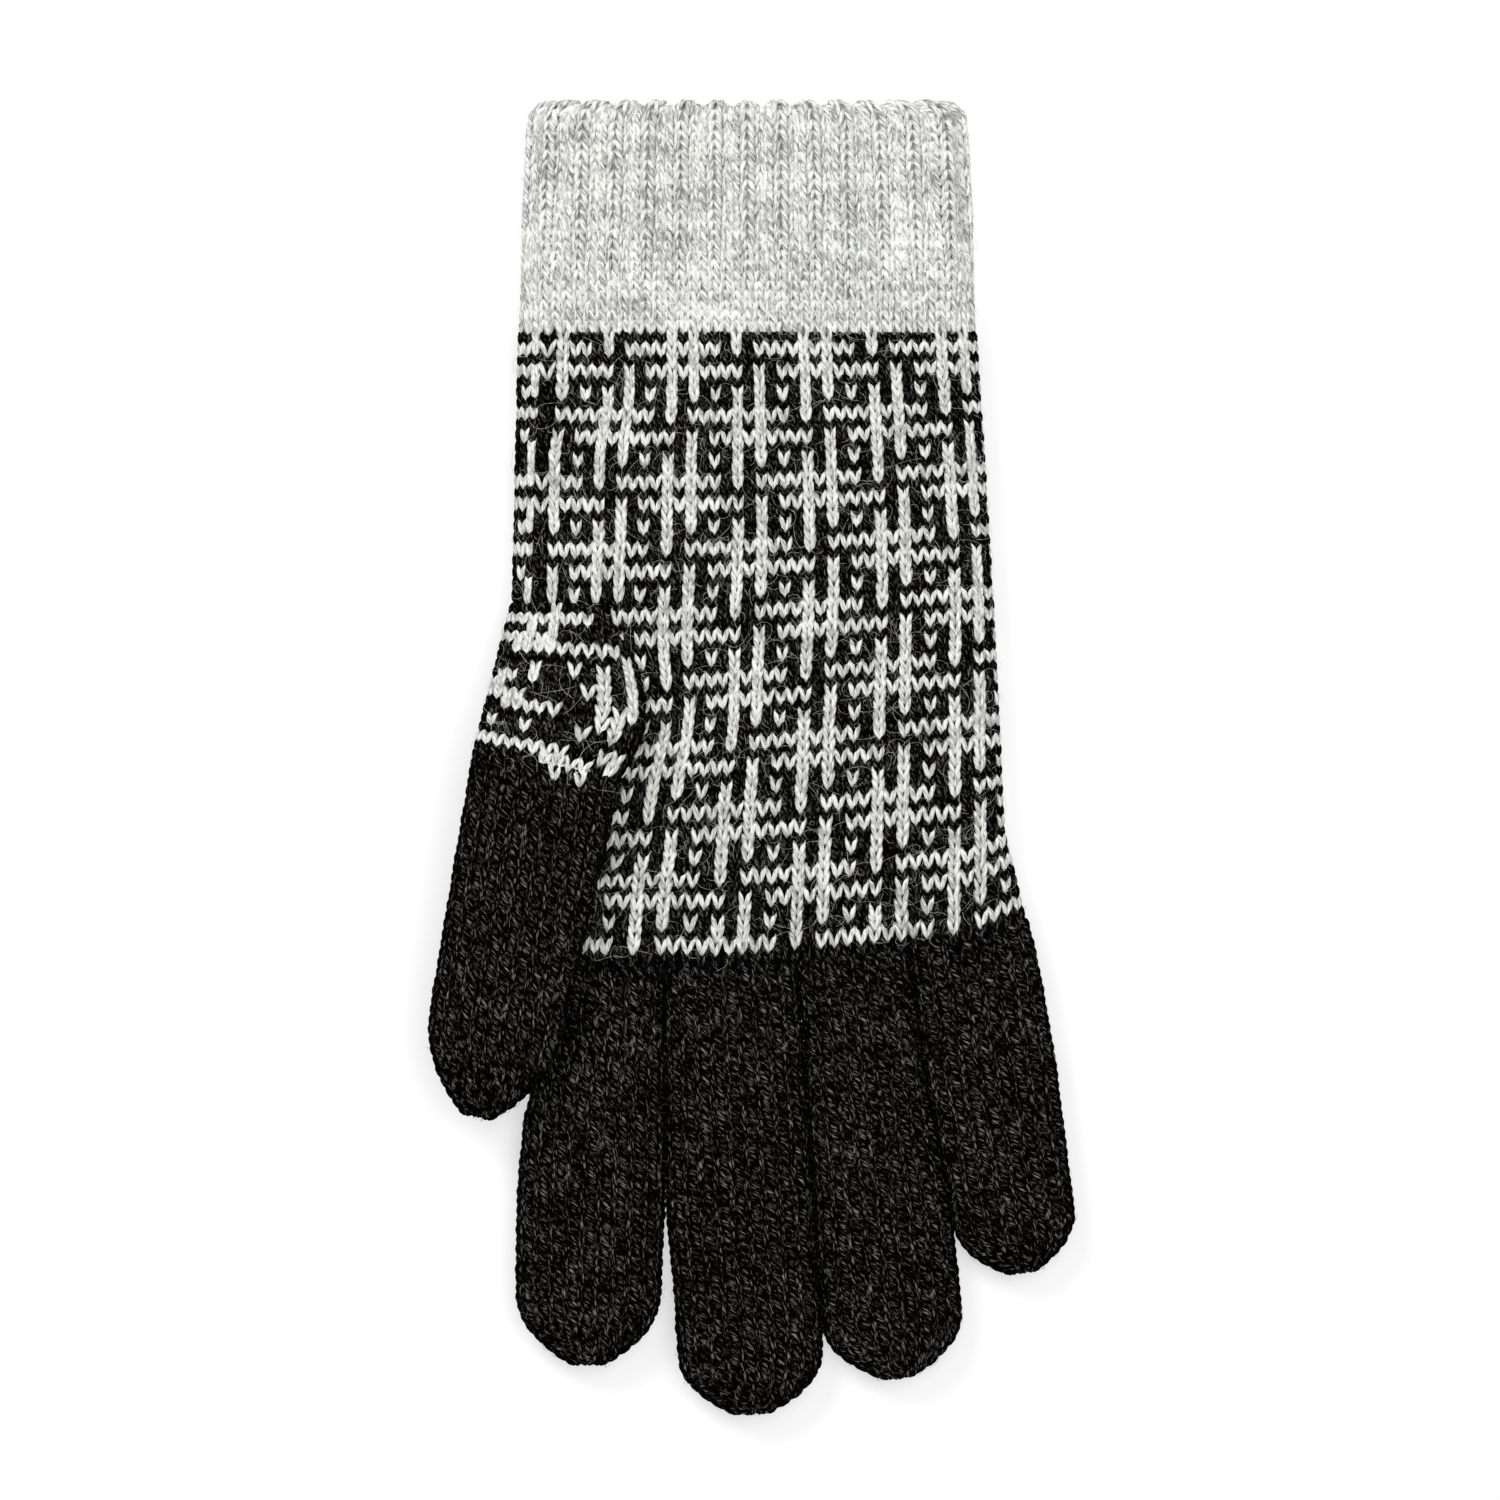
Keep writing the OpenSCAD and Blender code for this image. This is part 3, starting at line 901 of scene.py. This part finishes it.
def yarn_material(name, dark, light, low, high, strands, turns, stretch, clumps, painted_edge_shade, painted_side_shade,
                  specular, sheen, bump):
    """Spun yarn: fibres of two shades along its twist, some stretches of it paler than others.

    low and high are the noise values of the dark and light fibres, strands how many lie round a leg, turns
    their twist, stretch how fast they change along it, and clumps the strength of the paler stretches. The
    edge shade is painted shade that darkens a leg's edges, where the round yarn turns from the light, and the
    side shade is painted shade on the stitches on the glove's sides and in the grooves between the digits.
    """
    material, tree, shader = nodes_of(name)
    new, link = tree.nodes.new, tree.links.new
    attribute = new("ShaderNodeAttribute")
    attribute.attribute_name = "yarn"
    split = new("ShaderNodeSeparateXYZ")
    link(attribute.outputs["Vector"], split.inputs[0])
    along, around, seed = split.outputs
    combine = new("ShaderNodeCombineXYZ")
    turned = math_node(tree, "MULTIPLY_ADD", along, turns, around)
    link(math_node(tree, "MULTIPLY", turned, strands), combine.inputs[0])
    link(math_node(tree, "MULTIPLY", along, stretch), combine.inputs[1])
    link(math_node(tree, "MULTIPLY", seed, SEED_SPREAD), combine.inputs[2])
    fibres = noise_node(tree, combine.outputs[0], 1.0, 2.0, YARN_NOISE)
    place = new("ShaderNodeTexCoord")
    mapping = new("ShaderNodeMapping")
    mapping.inputs["Scale"].default_value = CLUMP_SCALE
    link(place.outputs["Object"], mapping.inputs["Vector"])
    clump = noise_node(tree, mapping.outputs["Vector"], 1.0, 1.0, YARN_NOISE)
    clumped = math_node(tree, "MULTIPLY_ADD", math_node(tree, "SUBTRACT", clump, 0.5), clumps, fibres)
    # 0 on a leg's top and 1 on its sides: the painted shade on a leg's edges grows with its square
    aside = math_node(tree, "MULTIPLY", math_node(tree, "SUBTRACT", around, 0.5), 4.0)
    edge_shaded = math_node(tree, "MULTIPLY_ADD", math_node(tree, "MULTIPLY", aside, aside), -painted_edge_shade, clumped)
    # Painted shade on the stitches on the glove's sides and in the grooves between the digits, from the side
    # attribute
    side = new("ShaderNodeAttribute")
    side.attribute_name = "side"
    shade = math_node(tree, "MULTIPLY_ADD", side.outputs["Fac"], -painted_side_shade, edge_shaded)
    ramp_colour(tree, shade, shader, dark, light, low, high)
    lift = new("ShaderNodeBump")
    set_inputs(lift, {"Strength": bump, "Distance": BUMP_DISTANCE})
    link(fibres, lift.inputs["Height"])
    link(lift.outputs["Normal"], shader.inputs["Normal"])
    set_inputs(shader, {"Roughness": YARN_ROUGHNESS, "Specular IOR Level": specular, "Sheen Weight": sheen,
                        "Sheen Roughness": 0.5, "Sheen Tint": SHEEN_TINT})
    return material


def backing_material(name, dark, light):
    """Matt felted yarn of two shades, for the sheet under the stitches."""
    material, tree, shader = nodes_of(name)
    place = tree.nodes.new("ShaderNodeTexCoord")
    noise = noise_node(tree, place.outputs["Object"], *BACKING_NOISE)
    ramp_colour(tree, noise, shader, dark, light, *BACKING_RAMP)
    set_inputs(shader, {"Roughness": BACKING_ROUGHNESS, "Specular IOR Level": 0.0})
    return material


# Each yarn darkens its legs' edges, and the stitches on the glove's sides and in the grooves, with painted
# shade
white_yarn = yarn_material(
    "white_yarn", dark=(166, 166, 160), light=(246, 246, 241), low=0.36, high=0.57, strands=7.0,
    turns=-0.12, stretch=0.5, clumps=0.15, painted_edge_shade=0.04, painted_side_shade=0.03, specular=0.1, sheen=0.1, bump=0.8)
grey_yarn = yarn_material(
    "grey_yarn", dark=(142, 143, 140), light=(248, 249, 244), low=0.33, high=0.57, strands=8.0,
    turns=-0.12, stretch=0.5, clumps=0.26, painted_edge_shade=0.04, painted_side_shade=0.03, specular=0.1, sheen=0.1, bump=0.8)
black_yarn = yarn_material(
    "black_yarn", dark=(6, 5, 4), light=(136, 135, 132), low=0.53, high=0.76, strands=12.0,
    turns=-0.2, stretch=0.8, clumps=0.05, painted_edge_shade=0.16, painted_side_shade=0.055, specular=0.0, sheen=0.0, bump=0.9)
dark_backing = backing_material("dark_backing", dark=4, light=14)
grey_backing = backing_material("grey_backing", dark=150, light=195)


# ---- Making and placing the pieces ----
def grid(c_values, r_values):
    c, r = np.meshgrid(np.asarray(c_values, float), np.asarray(r_values, float))
    return c.ravel(), r.ravel()


def place_piece(piece, nodes, slot, bodies=("hand_body",), start=None, end=None):
    """A piece rides on one body, or stays fixed where it lies when it spans two; the CAD nodes it stands for
    are hidden.
    """
    if len(bodies) == 1:
        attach(piece, bodies[0])
    else:
        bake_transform(piece)
    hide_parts(*nodes)


# ---- Cuff ----
palm_columns = np.arange(SEAM, SEAM + COLUMNS // 2 + 1)
back_columns = np.arange(SEAM + COLUMNS // 2 + 1, SEAM + COLUMNS)
# The cuff's first row is this far above the wrist, and its backing starts as far below it. Its last row is at
# least the second before the end
CUFF_START, CUFF_END = 0.4, 0.6
outer_rows = np.arange(-CUFF_START, cuff_last / 2, -1.0)
inner_rows = np.arange(outer_rows[-1] - 1, cuff_last + CUFF_END, -1.0)
for label, columns in (("palm", palm_columns), ("back", back_columns)):
    for layer, rows, sides in (("outer", outer_rows, FINE), ("lining", inner_rows, COARSE)):
        c, r = grid(columns, rows)
        c, width = ribbed(c, r)
        piece = knit(f"cuff_{layer}_{label}", cuff, c, r, width, grey_yarn, sides, LEG_RADIUS * CUFF_YARN)
        place_piece(piece, ["cuff_" + layer], "grey_yarn")
piece = backing("cuff_backing", cuff, LEFT_SEAM, LEFT_SEAM + COLUMNS, cuff_last, CUFF_START,
                CUFF_BACKING_DEPTH, grey_backing)
place_piece(piece, ["cuff_outer", "cuff_lining"], "grey_yarn")

# ---- Hand ----
# Stitches nearer to the cut edges than this share of the girth are left out, and past the gusset's start those
# nearer than the second are black. The third is for hairs
CUT_SHARE, BLACK_SHARE, HAIR_SHARE = 0.002, 0.022, 0.01
# The gusset's start covers the stitches this far below it, short of its end by this, above this height
COVERED_Y, COVERED_X, COVERED_Z = 6, 1.5, 3
# One bar beside the thumb is missing from this row on, as in the photo, apart from its last stitch
GAP_COLUMN, GAP_ROW = -12, 38
# The black knitting is two pieces, divided at this row
SPLIT_ROW = 12
YARNS = (("white", white_yarn, "jacquard_yarn"), ("black", black_yarn, "black_yarn"))

for label, columns, sides in (("palm", palm_columns, FINE), ("back", back_columns, COARSE)):
    c, r = grid(columns, np.arange(FIRST_ROW, LAST_ROW + 1))
    share = seam_share(c, r)
    shown = (share > CUT_SHARE) & (share < 1 - CUT_SHARE)
    x, y, z = hand.at(c, r)[0].T
    covered = (y < GUSSET_Y) & (y > GUSSET_Y - COVERED_Y) & (x < GUSSET_X[1] - COVERED_X) & (z > COVERED_Z)
    c, r = c[shown & ~covered], r[shown & ~covered]
    edge = np.minimum(seam_share(c, r), 1 - seam_share(c, r)) < BLACK_SHARE
    white = np.where(c <= EDGE_COLUMN, is_white_edge(c, r), is_white(c, r)) & ~(edge & (r > GUSSET_ROW))
    gap = (c == GAP_COLUMN) & (r >= GAP_ROW) & (r < LAST_ROW - 1)
    white &= (r < LAST_ROW) & ~gap
    width = np.ones(len(c))
    for column, new_width in EDGE_WIDTHS.items():
        width[(c == column) & (r < GUSSET_ROW)] = new_width
    c = np.where(width == 1, c, c - EDGE_SHIFT)
    for shade, material, slot in YARNS:
        groups = [("", white)]
        if shade == "black":
            groups = [("_upper", ~white & (r < SPLIT_ROW)), ("_lower", ~white & (r >= SPLIT_ROW))]
        for tail, take in groups:
            piece = knit(f"hand_{shade}_{label}{tail}", hand, c[take], r[take], width[take], material, sides)
            place_piece(piece, ["hand"], slot)
piece = backing("hand_backing", hand, LEFT_SEAM, LEFT_SEAM + COLUMNS, FIRST_ROW - 1, LAST_ROW + 2,
                BACKING_DEPTH, dark_backing)
place_piece(piece, ["hand"], "black_yarn")

# Hairs on the hand and on the cuff, and how high they stand: the glove lies on the short ones
CUFF_HAIRS = 500
HAIRS = (("palm", (LEFT_SEAM, LEFT_SEAM + COLUMNS / 2), 1200, 1.3),
         ("back", (LEFT_SEAM + COLUMNS / 2, LEFT_SEAM + COLUMNS), 1000, 0.5))


def clear_of_cut(c, r):
    return (seam_share(c, r) > HAIR_SHARE) & (seam_share(c, r) < 1 - HAIR_SHARE)


for label, c_range, count, highest in HAIRS:
    piece = fuzz(f"hand_fuzz_{label}", hand, c_range, (FIRST_ROW, LAST_ROW), count, (HAND_COLUMN, ROW),
                 white_yarn, clear_of_cut, highest=highest)
    place_piece(piece, ["hand"], "jacquard_yarn")
    piece = fuzz(f"cuff_fuzz_{label}", cuff, c_range, (float(outer_rows[-1]), 0.5), CUFF_HAIRS,
                 (CUFF_COLUMN, CUFF_ROW), grey_yarn, highest=highest)
    place_piece(piece, ["cuff_outer"], "grey_yarn")

# ---- Gusset ----
# Where along the thumb its swing starts and ends
THUMB_SWING_START, THUMB_SWING_END = -16.0, 10.0
# How deep in the hand the gusset's stitches and hairs are left out
HIDDEN_STITCH, HIDDEN_HAIR = 0.9, 0.3
GUSSET_HAIRS = 200
GUSSET_END = GUSSET_ROW + GUSSET_ROWS
thumb = digits["thumb"]


def place_gusset(piece, slot):
    place_piece(piece, ["thumb_gusset"], slot, ("hand_body", "thumb_root_body"),
                thumb.spot(THUMB_SWING_START), thumb.spot(THUMB_SWING_END))


c, r = grid(np.arange(SEAM, SEAM + GUSSET_COLUMNS), np.arange(GUSSET_ROW + 0.5, GUSSET_END))
shown = ~inside_hand(gusset.at(c, r)[0], HIDDEN_STITCH)
c = np.append(c[shown], HANGING_COLUMNS)
r = np.append(r[shown], np.full(len(HANGING_COLUMNS), GUSSET_END + HANGING_ROW))
white = gusset_white(c, r)
for shade, material, slot in YARNS:
    chosen = white if shade == "white" else ~white
    width = np.where(r[chosen] > GUSSET_END, HANGING_WIDTH, 1.0)
    piece = knit(f"gusset_{shade}", gusset, c[chosen], r[chosen], width, material,
                 radius=LEG_RADIUS * GUSSET_YARN)
    place_gusset(piece, slot)
piece = fuzz("gusset_fuzz", gusset, (LEFT_SEAM, LEFT_SEAM + GUSSET_COLUMNS), (GUSSET_ROW + 1, GUSSET_END + 1),
             GUSSET_HAIRS, GUSSET_STITCH, white_yarn,
             lambda c, r: ~inside_hand(gusset.at(c, r)[0], HIDDEN_HAIR))
place_gusset(piece, "jacquard_yarn")
piece = backing("gusset_backing", gusset, LEFT_SEAM, LEFT_SEAM + GUSSET_COLUMNS,
                GUSSET_ROW, GUSSET_END, BACKING_DEPTH, dark_backing)
place_gusset(piece, "black_yarn")


# ---- Fingers ----
# A row keeps all its columns down to this share of the full girth. A shorter one has as many as fit at this
# share of their width, and at least the third
FULL_SHARE, TIGHT_SHARE, LEAST_COLUMNS = 0.86, 0.95, 6
# The fingers' stitches start this part of a row after the hand's last row
FINGERS_FROM = 0.75
# No row starts nearer to the end of a tip than this part of a row
TIP_CLEAR = 0.3
# Hairs on the outer half of a tip and on the rest of a digit, and their length and height
TIP_HAIRS, LOWER_HAIRS = 130, 60
DIGIT_HAIR = (4.0, 1.2)


def digit_stitches(digit, first, last):
    """Columns, rows and widths of the stitches between two distances along a digit, fewer near its tip."""
    all_c, all_r, all_w = [], [], []
    full = digit.form.girth(digit.length * 0.5)
    for row in np.arange(0.5, digit.rows - TIP_CLEAR, 1.0):
        along = float(digit.along(row))
        if not first <= along < last:
            continue
        share = min(1.0, float(digit.form.girth(along)) / full)
        count = (digit.columns if share > FULL_SHARE
                 else max(LEAST_COLUMNS, int(round(digit.columns * share / TIGHT_SHARE))))
        width = digit.columns / count
        all_c.append((np.arange(count) + 0.5) * width)
        all_r.append(np.full(count, row))
        all_w.append(np.full(count, width))
    c, r, w = np.concatenate(all_c), np.concatenate(all_r), np.concatenate(all_w)
    if digit.start < 0:
        points, _ = digit.tube.at(c, r)
        own = points[:, 1] < row_y(LAST_ROW + FINGERS_FROM, points[:, 0])
        c, r, w = c[own], r[own], w[own]
    return c, r, w


def digit_part(name, digit, first, last, bodies, blend_from, blend_to, nodes):
    """The knitting, backing and hairs of one stretch of a digit, fixed where it lies between two bodies."""
    c, r, w = digit_stitches(digit, first, last)
    made = [knit(name + "_knit", digit.tube, c, r, w, black_yarn, radius=FINGER_LEG_RADIUS)]
    r0, r1 = float(digit.row(max(first, digit.start))), float(digit.row(min(last, digit.cap)))
    made.append(backing(name + "_backing", digit.tube, 0, digit.columns, r0, r1, BACKING_DEPTH, dark_backing))
    count, hairs_from = (TIP_HAIRS, (r0 + r1) / 2) if last >= digit.length else (LOWER_HAIRS, r0)
    made.append(fuzz(name + "_fuzz", digit.tube, (0, digit.columns), (hairs_from, r1 - 0.5), count,
                     (FINGER_COLUMN, FINGER_ROW), black_yarn, None, *DIGIT_HAIR))
    for piece in made:
        place_piece(piece, nodes, "black_yarn", bodies, digit.spot(blend_from), digit.spot(blend_to))


for name in FINGERS:
    digit, mid_fold = digits[name], FINGERS[name][2]
    split = mid_fold - FOLD_REACH
    digit_part(name + "_lower", digit, digit.start, split, ("hand_body", name + "_lower_body"),
               0.0, ROOT_FOLD + FOLD_REACH, [name + "_root", name + "_lower"])
    digit_part(name + "_tip", digit, split, digit.length, (name + "_lower_body", name + "_tip_body"),
               split, mid_fold + FOLD_REACH, [name + "_tip"])

digit_part("thumb_root", thumb, 0.0, THUMB_SWING_END, ("hand_body", "thumb_root_body"),
           THUMB_SWING_START, THUMB_SWING_END, ["thumb_root"])
thumb_split = THUMB_MID - THUMB_REACH
digit_part("thumb_lower", thumb, THUMB_SWING_END, thumb_split, ("thumb_root_body", "thumb_lower_body"),
           THUMB_FOLD - THUMB_REACH, THUMB_FOLD + THUMB_REACH, ["thumb_lower"])
digit_part("thumb_tip", thumb, thumb_split, THUMB_LEN, ("thumb_lower_body", "thumb_tip_body"),
           thumb_split, THUMB_MID + THUMB_REACH, ["thumb_tip"])

# ---- Elastic threads: the CAD's own rings, between the cuff's layers ----
WINDINGS = 600.0
ELASTIC_TONES = (190, 235)
ELASTIC_ROUGHNESS = 0.6
elastic, tree, shader = nodes_of("elastic_thread")
wave = tree.nodes.new("ShaderNodeTexWave")
wave.inputs["Scale"].default_value = WINDINGS
place = tree.nodes.new("ShaderNodeTexCoord")
tree.links.new(place.outputs["Object"], wave.inputs["Vector"])
ramp_colour(tree, wave.outputs["Fac"], shader, *ELASTIC_TONES)
set_inputs(shader, {"Roughness": ELASTIC_ROUGHNESS})
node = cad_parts["cuff_elastic"]
node.data.materials.clear()
node.data.materials.append(elastic)

# ---- Floor, light and camera ----
# The floor is just under the lowest hairs and gives off a little light, so that the shadow on it stays pale
FLOOR = 3000.0
FLOOR_Z = -0.8
FLOOR_TONE = 190
FLOOR_GLOW = 0.55
FLOOR_ROUGHNESS = 0.9
STUDIO_LIGHT = 0.36
floor_material, tree, shader = nodes_of("floor")
set_inputs(shader, {"Base Color": value(FLOOR_TONE), "Emission Color": (1, 1, 1, 1),
                    "Emission Strength": FLOOR_GLOW, "Roughness": FLOOR_ROUGHNESS, "Specular IOR Level": 0.0})
corners = [(FLOOR * x, FLOOR * y, FLOOR_Z) for x, y in ((-1, -1), (1, -1), (1, 1), (-1, 1))]
floor = mesh_object("floor", corners, [np.array([[0, 1, 2, 3]])], [floor_material])

world = bpy.data.worlds.new("studio")
world.use_nodes = True
background = next(n for n in world.node_tree.nodes if n.type == "BACKGROUND")
set_inputs(background, {"Color": (1, 1, 1, 1), "Strength": STUDIO_LIGHT})
bpy.context.scene.world = world


def area_light(name, location, size, power):
    light = bpy.data.lights.new(name, "AREA")
    light.shape = "DISK"
    light.size, light.energy = size, power
    lamp = bpy.data.objects.new(name, light)
    lamp.location = location
    lamp.rotation_euler = (Vector((0, 0, 0)) - Vector(location)).to_track_quat("-Z", "Y").to_euler()
    bpy.context.scene.collection.objects.link(lamp)


area_light("key_light", location=(-0.7, 0.9, 1.3), size=0.7, power=10)
area_light("top_light", location=(0.3, 0.1, 1.6), size=1.2, power=14)

# The camera looks straight down: the width it sees at the top of the hand, its height and its place, all in
# metres, and its sensor in millimetres
VIEW_WIDTH = 0.285
CAMERA_HEIGHT = 2.2
CAMERA_X, CAMERA_Y = -0.0002, 0.0014
SENSOR = 36
lens = bpy.data.cameras.new("camera")
lens.sensor_width = SENSOR
lens.lens = SENSOR * (CAMERA_HEIGHT - HAND_T * MM) / VIEW_WIDTH
camera = bpy.data.objects.new("camera", lens)
camera.location = (CAMERA_X, CAMERA_Y, CAMERA_HEIGHT)
bpy.context.scene.collection.objects.link(camera)
bpy.context.scene.camera = camera
bpy.context.scene.view_settings.view_transform = "Standard"
